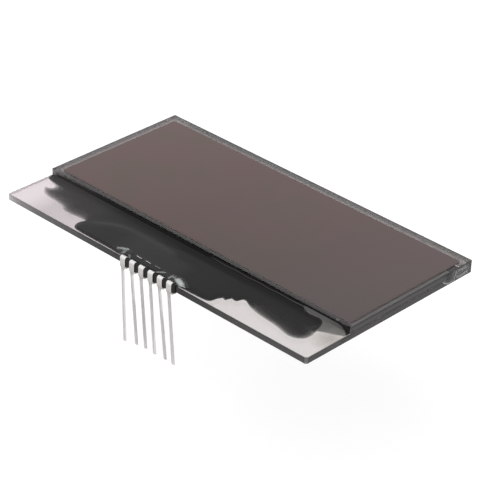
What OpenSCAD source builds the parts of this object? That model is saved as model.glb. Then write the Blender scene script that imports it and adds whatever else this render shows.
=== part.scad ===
// Bare glass liquid crystal display: two glass plates with a driver die on the contact
// ledge, black protective coating over it, and six edge-clip leads that hang down.
// Origin: middle of the glass outline, on the back of the rear polariser.
// +Z towards the viewer, +X along the display, -Y towards the contact ledge.

/* [Glass] */
// Length of both glass plates, along X
glass_w = 81.6; // [70:0.1:120]
// Depth of the rear plate, along Y
rear_glass_d = 46.7; // [36:0.1:80]
// Thickness of each plate
glass_t = 1.4; // [0.7:0.1:1.6]
// Contact ledge of the rear plate, in front of the front plate
ledge_d = 11.7; // [10:0.1:16]
// Liquid crystal gap between the plates
cell_gap = 0.01; // [0.01:0.01:0.04]

/* [Polarisers] */
// Thickness of the front polariser with its adhesive
front_polariser_t = 0.28; // [0.16:0.02:0.4]
// Thickness of the rear polariser with its adhesive
rear_polariser_t = 0.2; // [0.12:0.02:0.3]
// Strip of front glass left bare at the left
polariser_left_gap = 2.3; // [0.5:0.1:3]
// Strip of front glass left bare at the right
polariser_right_gap = 1; // [0.5:0.1:3]
// Strip of front glass left bare beside the ledge
polariser_front_gap = 1; // [0.3:0.1:2]
// Strip of front glass left bare at the back
polariser_back_gap = 2.4; // [0.5:0.1:3]
// Corner radius of both polarisers
polariser_corner_r = 0.4; // [0.2:0.1:1]

/* [Perimeter seal] */
// Distance from the front plate's edge to the seal
seal_inset = 0.3; // [0.2:0.1:0.8]
// Width of the seal
seal_w = 1.9; // [1:0.1:2]
// Corner radius of the seal's inside
cell_corner_r = 0.4; // [0.2:0.1:1]
// Width of the filling port in the seal's right side
port_w = 3; // [1.5:0.1:5]
// Distance from the glass's back edge to the middle of the filling port
port_back_gap = 4.5; // [4.5:0.1:14]
// Radius of the conductive crossover dots
dot_r = 0.4; // [0.2:0.05:0.45]
// Distance from each front corner of the front plate to its crossover dot
dot_corner_gap = 4; // [3:0.1:8]

/* [Filling port plug] */
// Length of the cured resin on the glass edge, along Y
plug_w = 8; // [5.5:0.1:9]
// How far the resin stands out of the glass edge
plug_out = 0.42; // [0.2:0.02:0.8]
// How far the resin runs down the rear plate's edge
plug_drop = 1.2; // [0.3:0.05:1.3]
// How far the resin runs up the front plate's edge
plug_rise = 1.2; // [0.3:0.05:1.3]

/* [Driver chip] */
// Length of the bare driver die, along X
chip_w = 8.5; // [4:0.1:12]
// Width of the die, along Y
chip_d = 1.6; // [1:0.1:2.2]
// Thickness of the die
chip_t = 0.3; // [0.2:0.05:0.35]
// Distance from the front plate to the middle of the die
chip_gap = 4.2; // [3:0.1:5]
// Thickness of the anisotropic bonding film
film_t = 0.03; // [0.02:0.01:0.05]
// Border of bonding film round the die
film_margin = 0.3; // [0.1:0.05:0.5]

/* [Pins] */
// Spacing of the six leads
pin_pitch = 2.54; // [1.8:0.01:2.6]
// Middle of the row of leads along X, from the middle of the glass
pin_row_x = -0.35; // [-3:0.05:3]
// Thickness of the lead strip
strip_t = 0.25; // [0.2:0.01:0.3]
// Width of the clip
clip_w = 1.35; // [1.1:0.05:1.5]
// Width of each lower clip finger
lower_finger_w = 0.25; // [0.15:0.01:0.3]
// Free space between the glass edge and the clip's upright
clip_gap = 0.4; // [0.3:0.01:0.6]
// Height of the clip's top over the ledge
clip_top_h = 0.5; // [0.45:0.01:0.6]
// Depth of the clip's lower bend under the glass
clip_bottom_h = 0.75; // [0.6:0.01:0.9]
// Width of the leg
leg_w = 0.65; // [0.4:0.01:0.8]
// Distance from the ledge's top face down to the leg tips
leg_drop = 18.8; // [10:0.1:25]
// Where the shoulders end and the plain leg starts, below the ledge's top face
shoulder_drop = 2.3; // [2.2:0.1:3]
// Thickness of the conductive paste under each upper finger
paste_t = 0.03; // [0.02:0.01:0.05]

/* [Black coating] */
// How far the coating band runs forward from the front plate
band_reach = 8; // [7:0.1:9]
// Thickness of the coating where it covers the die
coat_t = 0.55; // [0.5:0.01:0.7]
// Thickness of the coating at its outline
coat_edge_t = 0.04; // [0.02:0.01:0.08]
// How far the coating climbs up the front plate's edge
coat_climb = 0.25; // [0.1:0.05:0.4]
// Bare glass between the coating's ends and the glass's short edges
coat_end_gap = 0.3; // [0.2:0.05:1]
// Reach of the patch round the leads, to the left of their middle
patch_left = 22; // [16:0.1:24]
// Reach of the patch round the leads, to the right of their middle
patch_right = 19; // [15:0.1:22]
// Bare glass between the patch and the ledge's front edge
patch_front_gap = 0.15; // [0.1:0.05:0.6]

/* [Clear adhesive] */
// Length of the clear bead over the clips
bead_w = 19.8; // [17:0.1:22]
// Width of the bead, along Y
bead_d = 2.6; // [2.2:0.1:3]
// Height of the bead over the ledge
bead_h = 0.95; // [0.9:0.01:1.2]

/* [Hidden] */
$fn = 48;

// Heights of the layers
ledge_z = rear_polariser_t + glass_t;
front_glass_z = ledge_z + cell_gap;
front_glass_top_z = front_glass_z + glass_t;

// Plan positions of the plates
right_x = glass_w / 2;
left_x = -right_x;
back_y = rear_glass_d / 2;
ledge_y = -back_y;
foot_y = ledge_y + ledge_d;
front_glass_d = rear_glass_d - ledge_d;
port_y = back_y - port_back_gap;

// The polarisers' outline inside the front plate's
polariser_w = glass_w - polariser_left_gap - polariser_right_gap;
polariser_d = front_glass_d - polariser_front_gap - polariser_back_gap;
polariser_x = left_x + polariser_left_gap;
polariser_y = foot_y + polariser_front_gap;

// The liquid crystal's outline inside the seal
cell_inset = seal_inset + seal_w;
seal_corner_r = cell_corner_r + seal_w;
seal_mid_inset = seal_inset + seal_w / 2;

// The die
chip_y = foot_y - chip_gap;
chip_z = ledge_z + film_t;

// Bends of the clip, along the middle of the strip
upper_bend_r = 0.35;
lower_bend_r = 0.5;
contact_bend_r = 0.5;
upper_dip = 21;
lower_dip = 28;
upper_flare = 32;
lower_flare = 25;
upper_contact_y = 0.6;
lower_contact_y = 1;
finger_tip_y = 1.5;
face_y = -clip_gap - strip_t / 2;
paste_r = 0.45;
paste_h = 0.12;
shoulder_run = 0.35;
shoulder_flare = 0.04;

// Coating drawn into the clips: its top and bottom, its reach under the glass, its
// spare width past the outer clips and the radii of its edges
skirt_top_h = 0.32;
skirt_bottom_h = 0.42;
skirt_reach = 0.9;
skirt_side = 0.05;
skirt_top_r = 0.15;
skirt_bottom_r = 0.3;

// Bare glass between the clear bead and the ledge's front edge
bead_front_gap = 0.1;

// Small differences between the legs: each leg's lean towards +Y and +X, in degrees
leg_leans = [1.7, 4.3, 5.5, 5.1, 5.8, 5.3];
leg_sways = [0.6, 0.6, -0.55, -0.25, 0.4, -0.3];
tip_slants = [0.15, 0.05, 0.1, 0.25, 0.1, 0.3];
pin_count = len(leg_leans);

// Outline of the coating as hand-dispensed. Each row has its place along its stretch
// from 0 to 1, its reach forward as a share of the stretch's reach, and its thickness
// as a share of coat_t.
left_rows = [
    [0, 0.16, 0.15], [0.1, 0.27, 0.25], [0.19, 0.375, 0.35], [0.215, 0.64, 0.4],
    [0.325, 0.825, 0.5], [0.495, 0.86, 0.55], [0.695, 1.01, 0.6], [0.9, 1, 0.65],
    [0.97, 1.05, 0.7]
];
patch_rows = [
    [0, 0.79, 0.7], [0.012, 0.957, 0.7], [0.05, 1, 0.75], [0.2, 1, 0.9], [0.4, 1, 1],
    [0.7, 1, 1], [0.9, 1, 0.8], [0.93, 0.905, 0.75], [0.957, 0.74, 0.7],
    [0.979, 0.715, 0.7], [0.995, 0.65, 0.65]
];
right_rows = [
    [0.035, 0.74, 0.5], [0.075, 0.79, 0.45], [0.2, 0.9, 0.35], [0.355, 0.95, 0.3],
    [0.505, 1, 0.3], [0.66, 1.125, 0.3], [0.735, 1.075, 0.28], [0.785, 0.9, 0.2],
    [0.81, 0.51, 0.12], [1, 0.24, 0.1]
];
// Across the coating, from its front outline to the front plate: the place and the share
// of the full thickness
coat_profile = [[0, 0], [0.03, 0.3], [0.09, 0.55], [0.2, 0.75], [0.4, 0.95], [0.6, 1], [0.9, 1]];
coat_steps = 3;

// Swell of the plug and of the clear bead: place along the length from its middle, and
// share of the full width
plug_shares = [
    [-0.5, 0.15], [-0.44, 0.5], [-0.32, 0.85], [-0.12, 1], [0.1, 0.85], [0.28, 0.95], [0.42, 0.6], [0.5, 0.15]
];
bead_shares = [
    [-0.5, 0.1], [-0.485, 0.45], [-0.45, 0.75], [-0.38, 1], [-0.3, 0.85], [0, 0.8],
    [0.25, 0.85], [0.38, 1], [0.45, 0.7], [0.485, 0.4], [0.5, 0.1]
];

function pin_x(n) = pin_row_x + (n - (pin_count + 1) / 2) * pin_pitch;
function reverse(list) = [for (i = [len(list) - 1:-1:0]) list[i]];
function mix(a, b, t) = a + (b - a) * t;
function arc(centre, r, from, to, steps) =
    [for (i = [0:steps]) centre + r * [cos(mix(from, to, i / steps)), sin(mix(from, to, i / steps))]];

// Outline of a strip of even thickness along a path
function direction(path, i) =
    let (d = path[min(i + 1, len(path) - 1)] - path[max(i - 1, 0)]) d / norm(d);
function strip_side(path, d) =
    [for (i = [0:len(path) - 1]) path[i] + d * [-direction(path, i)[1], direction(path, i)[0]]];
function strip_outline(path, t) = concat(strip_side(path, t / 2), reverse(strip_side(path, -t / 2)));

// Path of a clip finger from the upright over the glass face, with Y inwards and Z up
// from that face: a bend, a dip to the contact and a flared tip
function finger_path(bend_r, top_h, dip, contact_y, lift, flare) =
    let (bend_y = face_y + bend_r, bend_z = top_h - strip_t / 2 - bend_r,
         contact_z = lift + strip_t / 2 + contact_bend_r,
         flare_y = contact_y + contact_bend_r * sin(flare),
         flare_z = contact_z - contact_bend_r * cos(flare))
    concat(
        [[face_y, -glass_t / 2]],
        arc([bend_y, bend_z], bend_r, 180, 90 - dip, 8),
        arc([contact_y, contact_z], contact_bend_r, -90 - dip, -90, 3),
        arc([contact_y, contact_z], contact_bend_r, -90 + flare / 3, -90 + flare, 2),
        [[finger_tip_y, flare_z + (finger_tip_y - flare_y) * tan(flare)]]
    );

// Smooth value between rows of a list, by a Catmull-Rom curve
function smooth(a, b, c, d, t) =
    b + 0.5 * t * (c - a + t * (2 * a - 5 * b + 4 * c - d + t * (3 * (b - c) + d - a)));

// The coating's rows as real [x, reach forward, thickness]
patch_left_x = pin_row_x - patch_left;
patch_right_x = pin_row_x + patch_right;
coat_left_x = left_x + coat_end_gap;
coat_right_x = right_x - coat_end_gap;
patch_reach = ledge_d - patch_front_gap;
coat_rows = concat(
    [for (r = left_rows) [mix(coat_left_x, patch_left_x, r[0]), r[1] * band_reach, r[2] * coat_t]],
    [for (r = patch_rows) [mix(patch_left_x, patch_right_x, r[0]), r[1] * patch_reach, r[2] * coat_t]],
    [for (r = right_rows) [mix(patch_right_x, coat_right_x, r[0]), r[1] * band_reach, r[2] * coat_t]]
);
last_row = len(coat_rows) - 1;
function coat_row(i) = coat_rows[max(0, min(i, last_row))];
function coat_station(i, t) =
    let (s = smooth(coat_row(i - 1), coat_row(i), coat_row(i + 1), coat_row(i + 2), t))
    [mix(coat_row(i)[0], coat_row(i + 1)[0], t), min(s[1], patch_reach), s[2]];
coat_stations = concat(
    [for (i = [0:last_row - 1]) for (k = [0:coat_steps - 1]) coat_station(i, k / coat_steps)],
    [coat_row(last_row)]
);
function coat_section(s) = concat(
    [[s[0], foot_y - s[1], ledge_z]],
    [for (p = coat_profile) [s[0], foot_y - s[1] * (1 - p[0]), ledge_z + max(coat_edge_t, s[2] * p[1])]],
    [[s[0], foot_y, ledge_z + s[2] + min(coat_climb, s[2])]],
    [[s[0], foot_y, ledge_z]]
);

// Closed solid through a row of sections with equal numbers of points
module loft(sections) {
    n = len(sections[0]);
    last = (len(sections) - 1) * n;
    sides = [
        for (i = [0:len(sections) - 2]) for (j = [0:n - 1]) for (half = [0, 1])
        let (a = i * n + j, b = i * n + (j + 1) % n)
        half == 0 ? [a, b, b + n] : [a, b + n, a + n]
    ];
    ends = [[for (j = [n - 1:-1:0]) j], [for (j = [0:n - 1]) last + j]];
    polyhedron(points = [for (s = sections) for (p = s) p], faces = concat(sides, ends));
}

module rounded_plate(w, d, t, r) {
    linear_extrude(t) rounded_square(w, d, r);
}

module rounded_square(w, d, r) {
    translate([r, 0]) square([w - 2 * r, d]);
    translate([0, r]) square([w, d - 2 * r]);
    for (x = [r, w - r]) for (y = [r, d - r]) translate([x, y]) circle(r);
}

// Extrudes a YZ outline along X, centred
module across_x(w) {
    rotate([90, 0, 90]) translate([0, 0, -w / 2]) linear_extrude(w) children();
}

module rear_glass() {
    color([0.75, 0.8, 0.8, 0.5])
        translate([left_x, ledge_y, rear_polariser_t]) cube([glass_w, rear_glass_d, glass_t]);
}

module front_glass() {
    color([0.7, 0.75, 0.75, 0.5])
        translate([left_x, foot_y, front_glass_z]) cube([glass_w, front_glass_d, glass_t]);
}

module polariser(t) {
    color([0.29, 0.24, 0.23])
        translate([polariser_x, polariser_y, 0])
        rounded_plate(polariser_w, polariser_d, t, polariser_corner_r);
}

module rear_polariser() {
    polariser(rear_polariser_t);
}

module front_polariser() {
    translate([0, 0, front_glass_top_z]) polariser(front_polariser_t);
}

// Outline of a rounded frame line inside the front plate's edge
module cell_plate(inset, r, t) {
    translate([left_x + inset, foot_y + inset, ledge_z])
        rounded_plate(glass_w - 2 * inset, front_glass_d - 2 * inset, t, r);
}

module crossover_dot(side) {
    color([0.75, 0.75, 0.72])
        translate([side * (right_x - dot_corner_gap), foot_y + seal_mid_inset, ledge_z])
        cylinder(r = dot_r, h = cell_gap);
}

module port_space() {
    translate([right_x - cell_inset, port_y - port_w / 2, ledge_z]) cube([cell_inset, port_w, cell_gap]);
}

module perimeter_seal() {
    color([0.45, 0.45, 0.44]) difference() {
        cell_plate(seal_inset, seal_corner_r, cell_gap);
        translate([0, 0, -cell_gap]) cell_plate(cell_inset, cell_corner_r, 3 * cell_gap);
        translate([right_x - 2 * cell_inset, port_y - port_w / 2, ledge_z - cell_gap])
            cube([2 * cell_inset, port_w, 3 * cell_gap]);
        for (side = [-1, 1])
            translate([side * (right_x - dot_corner_gap), foot_y + seal_mid_inset, ledge_z - cell_gap])
            cylinder(r = dot_r, h = 3 * cell_gap);
    }
}

module liquid_crystal() {
    color([0.4, 0.38, 0.36]) cell_plate(cell_inset, cell_corner_r, cell_gap);
}

// Cured resin bulging out of the glass edge over the port, with a tongue that fills it
module fill_port_plug() {
    mid_z = front_glass_z + (plug_rise - plug_drop) / 2;
    half_h = (plug_rise + plug_drop) / 2;
    color([0.85, 0.88, 0.88, 0.6]) union() {
        loft([
            for (s = plug_shares)
            let (out = plug_out * s[1], y = port_y + plug_w * s[0], h = half_h * sqrt(s[1]))
            [for (a = [-90:20:90]) [right_x + out * cos(a), y, mid_z + h * sin(a)]]
        ]);
        port_space();
    }
}

module driver_chip() {
    color([0.3, 0.31, 0.34])
        translate([pin_row_x - chip_w / 2, chip_y - chip_d / 2, chip_z]) cube([chip_w, chip_d, chip_t]);
}

module chip_bonding_film() {
    color([0.6, 0.55, 0.42])
        translate([pin_row_x - chip_w / 2 - film_margin, chip_y - chip_d / 2 - film_margin, ledge_z])
        cube([chip_w + 2 * film_margin, chip_d + 2 * film_margin, film_t]);
}

// One clip with its leg, its origin on the ledge's front top edge
module clip_lead(lean, sway, slant) {
    upper = finger_path(upper_bend_r, clip_top_h, upper_dip, upper_contact_y, paste_t, upper_flare);
    lower = finger_path(lower_bend_r, clip_bottom_h, lower_dip, lower_contact_y, 0, lower_flare);
    root_w = clip_w - 2 * lower_finger_w;
    root_top = -glass_t - strip_t / 2;
    waist_w = leg_w + 2 * shoulder_flare;
    waist_z = -shoulder_drop + shoulder_run;
    leg_l = (leg_drop - shoulder_drop) / cos(lean);
    across_x(clip_w) polygon(strip_outline(upper, strip_t));
    for (side = [-1, 1])
        translate([side * (clip_w - lower_finger_w) / 2, 0, -glass_t]) mirror([0, 0, 1])
        across_x(lower_finger_w) polygon(strip_outline(lower, strip_t));
    // Upright between the lower fingers, narrowing from the shoulders to the leg
    translate([0, -clip_gap, 0]) rotate([90, 0, 0]) linear_extrude(strip_t) polygon([
        [-root_w / 2, -glass_t / 2], [-root_w / 2, root_top], [-waist_w / 2, waist_z],
        [-leg_w / 2, -shoulder_drop], [-leg_w / 2, -shoulder_drop - strip_t / 4],
        [leg_w / 2, -shoulder_drop - strip_t / 4], [leg_w / 2, -shoulder_drop],
        [waist_w / 2, waist_z], [root_w / 2, root_top], [root_w / 2, -glass_t / 2]
    ]);
    translate([0, face_y, -shoulder_drop]) rotate([lean, -sway, 0]) rotate([90, 0, 0])
        translate([0, 0, -strip_t / 2]) linear_extrude(strip_t) polygon([
            [-leg_w / 2, strip_t / 2], [-leg_w / 2, -leg_l + slant], [-leg_w / 2 + slant / 3, -leg_l],
            [leg_w / 2, -leg_l], [leg_w / 2, strip_t / 2]
        ]);
}

module pin_shape(n) {
    translate([pin_x(n), ledge_y, ledge_z]) clip_lead(leg_leans[n - 1], leg_sways[n - 1], tip_slants[n - 1]);
}

module pin(n) {
    color([0.8, 0.79, 0.78]) pin_shape(n);
}

module paste_shape(n) {
    translate([pin_x(n), ledge_y + upper_contact_y, ledge_z]) cylinder(r = paste_r, h = paste_h);
}

module contact_paste(n) {
    color([0.5, 0.5, 0.49]) difference() {
        paste_shape(n);
        pin_shape(n);
    }
}

// Coating drawn into the clips and between them, over and under the glass edge
module coat_skirt() {
    skirt_w = (pin_count - 1) * pin_pitch + clip_w + 2 * skirt_side;
    bottom_z = -glass_t - skirt_bottom_h;
    translate([pin_row_x, ledge_y, ledge_z]) across_x(skirt_w) polygon(concat(
        [[skirt_reach, skirt_top_h]],
        arc([skirt_top_r - clip_gap, skirt_top_h - skirt_top_r], skirt_top_r, 90, 180, 4),
        arc([skirt_bottom_r - clip_gap, bottom_z + skirt_bottom_r], skirt_bottom_r, 180, 270, 5),
        [[skirt_reach - skirt_bottom_r, bottom_z], [skirt_reach, -glass_t]],
        [[0, -glass_t], [0, 0], [skirt_reach, 0]]
    ));
}

module coat_shape() {
    loft([for (s = coat_stations) coat_section(s)]);
    coat_skirt();
}

module ledge_coating() {
    color([0.13, 0.12, 0.12]) difference() {
        coat_shape();
        for (n = [1:pin_count]) pin_shape(n);
        for (n = [1:pin_count]) paste_shape(n);
        driver_chip();
        chip_bonding_film();
    }
}

// Clear bead over the clip fingers, on top of the coating
module pin_adhesive() {
    bead_y = ledge_y + bead_d / 2 + bead_front_gap;
    color([0.8, 0.85, 0.84, 0.5]) difference() {
        loft([
            for (s = bead_shares)
            let (x = pin_row_x + bead_w * s[0], half_d = bead_d / 2 * s[1], h = bead_h * sqrt(s[1]))
            [for (a = [180:-15:0]) [x, bead_y + half_d * cos(a), ledge_z + h * sin(a)]]
        ]);
        coat_shape();
        for (n = [1:pin_count]) pin_shape(n);
    }
}

rear_glass();
front_glass();
rear_polariser();
front_polariser();
perimeter_seal();
liquid_crystal();
crossover_dot(-1);  // crossover_dot_left
crossover_dot(1);  // crossover_dot_right
fill_port_plug();
driver_chip();
chip_bonding_film();
ledge_coating();
pin_adhesive();
contact_paste(1);  // contact_paste_1
contact_paste(2);  // contact_paste_2
contact_paste(3);  // contact_paste_3
contact_paste(4);  // contact_paste_4
contact_paste(5);  // contact_paste_5
contact_paste(6);  // contact_paste_6
pin(1);  // pin_1
pin(2);  // pin_2
pin(3);  // pin_3
pin(4);  // pin_4
pin(5);  // pin_5
pin(6);  // pin_6
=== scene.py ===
"""Looks of a bare glass liquid crystal display with black ledge coating and edge-clip leads.

Metres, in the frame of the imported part: the origin is the middle of the glass outline on the
back of the rear polariser, +Z towards the viewer, -Y towards the contact ledge.
"""
import math
import random

import bmesh
import bpy
import numpy as np
from mathutils import Matrix, Vector, noise


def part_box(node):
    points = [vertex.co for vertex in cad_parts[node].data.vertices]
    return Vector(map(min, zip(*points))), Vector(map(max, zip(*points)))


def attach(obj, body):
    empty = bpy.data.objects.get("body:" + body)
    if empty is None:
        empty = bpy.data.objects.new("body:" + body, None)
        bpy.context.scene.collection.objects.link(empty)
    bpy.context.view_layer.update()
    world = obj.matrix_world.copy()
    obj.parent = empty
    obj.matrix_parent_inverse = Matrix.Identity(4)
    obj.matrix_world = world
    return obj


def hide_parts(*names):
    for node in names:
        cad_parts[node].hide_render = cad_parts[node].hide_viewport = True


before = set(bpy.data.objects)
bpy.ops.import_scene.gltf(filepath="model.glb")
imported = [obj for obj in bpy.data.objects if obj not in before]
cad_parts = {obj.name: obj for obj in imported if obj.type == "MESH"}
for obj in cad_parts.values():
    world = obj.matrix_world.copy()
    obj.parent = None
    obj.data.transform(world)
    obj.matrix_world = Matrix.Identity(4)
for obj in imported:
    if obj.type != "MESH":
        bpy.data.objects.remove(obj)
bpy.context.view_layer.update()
MM = 0.001

# Places taken from the frame
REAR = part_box("rear_glass")
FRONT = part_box("front_glass")
LEFT, RIGHT = REAR[0].x, REAR[1].x
LEDGE_FRONT, BACK = REAR[0].y, REAR[1].y
LEDGE_TOP = REAR[1].z
FOOT = FRONT[0].y
# The front plate's edge, in millimetres from the ledge's front edge
FOOT_Y = round((FOOT - LEDGE_FRONT) / MM, 3)
PINS = [f"pin_{n}" for n in range(1, 7)]
PIN_X = [(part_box(p)[0].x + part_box(p)[1].x) / 2 for p in PINS]
ROW_X = sum(PIN_X) / len(PIN_X)

# The solved camera: azimuth, elevation and roll in degrees, distance and lens
CAMERA_AT = (0.260672, -0.275678, 0.223925)
CAMERA_AZIMUTH = 43.236
CAMERA_ELEVATION = 30.646
CAMERA_ROLL = 2.018
CAMERA_LENS = 167.805

FLOOR_DROP = 0.07


def smoothstep(a, b, x):
    t = min(1.0, max(0.0, (x - a) / (b - a)))
    return t * t * (3 - 2 * t)


def curve_through(rows, x, column):
    """Smooth value of a column at x, for rows sorted by their first number."""
    if x <= rows[0][0]:
        return rows[0][column]
    for i in range(len(rows) - 1):
        if x <= rows[i + 1][0]:
            a, b = rows[i], rows[i + 1]
            t = (x - a[0]) / (b[0] - a[0])
            return a[column] + (b[column] - a[column]) * t * t * (3 - 2 * t)
    return rows[-1][column]


class Nodes:
    """Short hand for building a material's node tree."""

    def __init__(self, name):
        self.material = bpy.data.materials.new(name)
        self.material.use_nodes = True
        self.tree = self.material.node_tree
        self.tree.nodes.clear()
        self.output = self.add("ShaderNodeOutputMaterial")
        self.shader = self.add("ShaderNodeBsdfPrincipled")
        self.link(self.shader.outputs[0], self.output.inputs["Surface"])

    def add(self, kind, **settings):
        node = self.tree.nodes.new(kind)
        for key, value in settings.items():
            setattr(node, key, value)
        return node

    def link(self, source, target):
        self.tree.links.new(source, target)

    def set(self, **values):
        for key, value in values.items():
            self.shader.inputs[key.replace("_", " ")].default_value = value

    def place(self, scale=(1, 1, 1)):
        """Coordinates of the part's own frame, in millimetres times scale."""
        where = self.add("ShaderNodeTexCoord")
        mapping = self.add("ShaderNodeMapping")
        mapping.inputs["Scale"].default_value = [1000 * s for s in scale]
        self.link(where.outputs["Object"], mapping.inputs["Vector"])
        return mapping.outputs["Vector"]

    def noise(self, scale, detail=3.0, roughness=0.5, stretch=(1, 1, 1)):
        node = self.add("ShaderNodeTexNoise")
        node.inputs["Scale"].default_value = scale
        node.inputs["Detail"].default_value = detail
        node.inputs["Roughness"].default_value = roughness
        self.link(self.place(stretch), node.inputs["Vector"])
        return node.outputs["Fac"]

    def ramp(self, source, stops):
        """Colour ramp. Each stop is a place and a grey or a colour."""
        node = self.add("ShaderNodeValToRGB")
        elements = node.color_ramp.elements
        while len(elements) < len(stops):
            elements.new(0.5)
        for element, (place, colour) in zip(elements, stops):
            element.position = place
            rgb = (colour,) * 3 if isinstance(colour, (int, float)) else colour
            element.color = (*rgb, 1)
        self.link(source, node.inputs["Fac"])
        return node.outputs["Color"]

    def blend(self, factor, a, b):
        """Colour between two others. Each may be a socket or a fixed colour."""
        node = self.add("ShaderNodeMix", data_type="RGBA")
        self.link(factor, node.inputs[0])
        for source, target in ((a, node.inputs[6]), (b, node.inputs[7])):
            if isinstance(source, tuple):
                target.default_value = (*source, 1)
            else:
                self.link(source, target)
        return node.outputs[2]

    def distance_to(self, spot, near, far):
        """One close to a spot of the part's frame, in millimetres, and zero beyond far."""
        away = self.add("ShaderNodeVectorMath", operation="DISTANCE")
        away.inputs[1].default_value = spot
        self.link(self.place(), away.inputs[0])
        fade = self.add("ShaderNodeMapRange")
        fade.inputs["From Min"].default_value = far
        fade.inputs["From Max"].default_value = near
        self.link(away.outputs["Value"], fade.inputs["Value"])
        return fade.outputs["Result"]

    def bump(self, source, distance, strength=1.0):
        node = self.add("ShaderNodeBump")
        node.inputs["Distance"].default_value = distance
        node.inputs["Strength"].default_value = strength
        self.link(source, node.inputs["Height"])
        self.link(node.outputs["Normal"], self.shader.inputs["Normal"])

    def attribute(self, name):
        node = self.add("ShaderNodeAttribute", attribute_name=name)
        return node.outputs["Fac"]


def across(n, stops):
    """Colour ramp over the part's X, from its left edge to its right edge."""
    where = n.add("ShaderNodeSeparateXYZ")
    n.link(n.place(), where.inputs[0])
    scale = n.add("ShaderNodeMapRange")
    scale.inputs["From Min"].default_value = LEFT / MM
    scale.inputs["From Max"].default_value = RIGHT / MM
    n.link(where.outputs["X"], scale.inputs["Value"])
    cloud = n.noise(0.05, 2.0, 0.5)
    wander = n.add("ShaderNodeMath", operation="MULTIPLY_ADD")
    wander.inputs[1].default_value = 0.1
    n.link(cloud, wander.inputs[0])
    n.link(scale.outputs["Result"], wander.inputs[2])
    return n.ramp(wander.outputs[0], stops)


def from_rim(n):
    """Distance from the left or back edge of the glass, whichever is nearer: one is 2.5 mm."""
    where = n.add("ShaderNodeSeparateXYZ")
    n.link(n.place(), where.inputs[0])
    from_left = n.add("ShaderNodeMath", operation="SUBTRACT")
    from_left.inputs[1].default_value = LEFT / MM
    n.link(where.outputs["X"], from_left.inputs[0])
    from_back = n.add("ShaderNodeMath", operation="SUBTRACT")
    from_back.inputs[0].default_value = BACK / MM
    n.link(where.outputs["Y"], from_back.inputs[1])
    nearest = n.add("ShaderNodeMath", operation="MINIMUM")
    n.link(from_left.outputs[0], nearest.inputs[0])
    n.link(from_back.outputs[0], nearest.inputs[1])
    share = n.add("ShaderNodeMath", operation="MULTIPLY")
    share.inputs[1].default_value = 0.4
    n.link(nearest.outputs[0], share.inputs[0])
    return share.outputs[0]


def depth_between(n, low, high, to_low=0.0, to_high=1.0):
    """Number that runs from to_low to to_high between two places on the part's Y."""
    where = n.add("ShaderNodeSeparateXYZ")
    n.link(n.place(), where.inputs[0])
    scale = n.add("ShaderNodeMapRange")
    scale.inputs["From Min"].default_value = low
    scale.inputs["From Max"].default_value = high
    scale.inputs["To Min"].default_value = to_low
    scale.inputs["To Max"].default_value = to_high
    n.link(where.outputs["Y"], scale.inputs["Value"])
    return scale.outputs["Result"]


def glass_face():
    """Polished face of display glass: the faint grey pink of its conductive film, with painted shade along X that is
    darkest a little in from the left end.
    """
    n = Nodes("glass_face")
    n.set(Transmission_Weight=1.0, IOR=1.52)
    # Painted shade: the film's pink, darkened along X, darkest a little in from the left end
    pink_and_painted_shade = across(n, [(0.1, (0.68, 0.61, 0.635)), (0.16, (0.48, 0.425, 0.445)),
                      (0.5, (0.6, 0.55, 0.55)), (0.9, (0.69, 0.655, 0.645))])
    # The coating's thinnest wash reaches over the glass at the right end of the ledge
    wash = n.distance_to((RIGHT / MM - 1.4, LEDGE_FRONT / MM + 7.9, LEDGE_TOP / MM), 0.8, 4.4)
    washed = n.blend(wash, pink_and_painted_shade, (0.42, 0.385, 0.35))
    # Little light comes out of the glass along its left and back rims
    rim = n.ramp(from_rim(n), [(0.24, 0.56), (0.42, 0.0)])
    behind = n.add("ShaderNodeMath", operation="MULTIPLY")
    n.link(rim, behind.inputs[0])
    n.link(depth_between(n, FOOT / MM - 0.2, FOOT / MM), behind.inputs[1])
    n.link(n.blend(behind.outputs[0], washed, (0.05, 0.048, 0.048)), n.shader.inputs["Base Color"])
    smear = n.noise(0.12, 2.0, 0.5)
    n.link(n.ramp(smear, [(0.4, 0.0), (0.75, 0.02)]), n.shader.inputs["Roughness"])
    return n.material


def up_the_edge(n, low, high, stops):
    """Ramp over the part's Z, from low to high in millimetres over the ledge."""
    where = n.add("ShaderNodeSeparateXYZ")
    n.link(n.place(), where.inputs[0])
    scale = n.add("ShaderNodeMapRange")
    scale.inputs["From Min"].default_value = LEDGE_TOP / MM + low
    scale.inputs["From Max"].default_value = LEDGE_TOP / MM + high
    n.link(where.outputs["Z"], scale.inputs["Value"])
    return n.ramp(scale.outputs["Result"], stops)


def glass_edge(name, along, low, high, gloss):
    """Scribed and broken edge, dark down its length, with fine ripples along the break. Its tones along X are painted
    shade and light: pale at the bare left end, darkest along the coated stretch.
    """
    n = Nodes(name)
    n.set(Transmission_Weight=0.5, IOR=1.33)
    # Painted shade and light along X, from the tones given
    n.link(across(n, [(place, (v, 0.95 * v, 0.94 * v)) for place, v in along]), n.shader.inputs["Base Color"])
    n.link(up_the_edge(n, low, high, gloss), n.shader.inputs["Specular IOR Level"])
    ripple = n.noise(1.2, 3.0, 0.6, (1, 1, 0.4))
    n.link(n.ramp(ripple, [(0.3, 0.05), (0.7, 0.2)]), n.shader.inputs["Roughness"])
    n.bump(ripple, 0.00002, 0.35)
    return n.material


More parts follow.
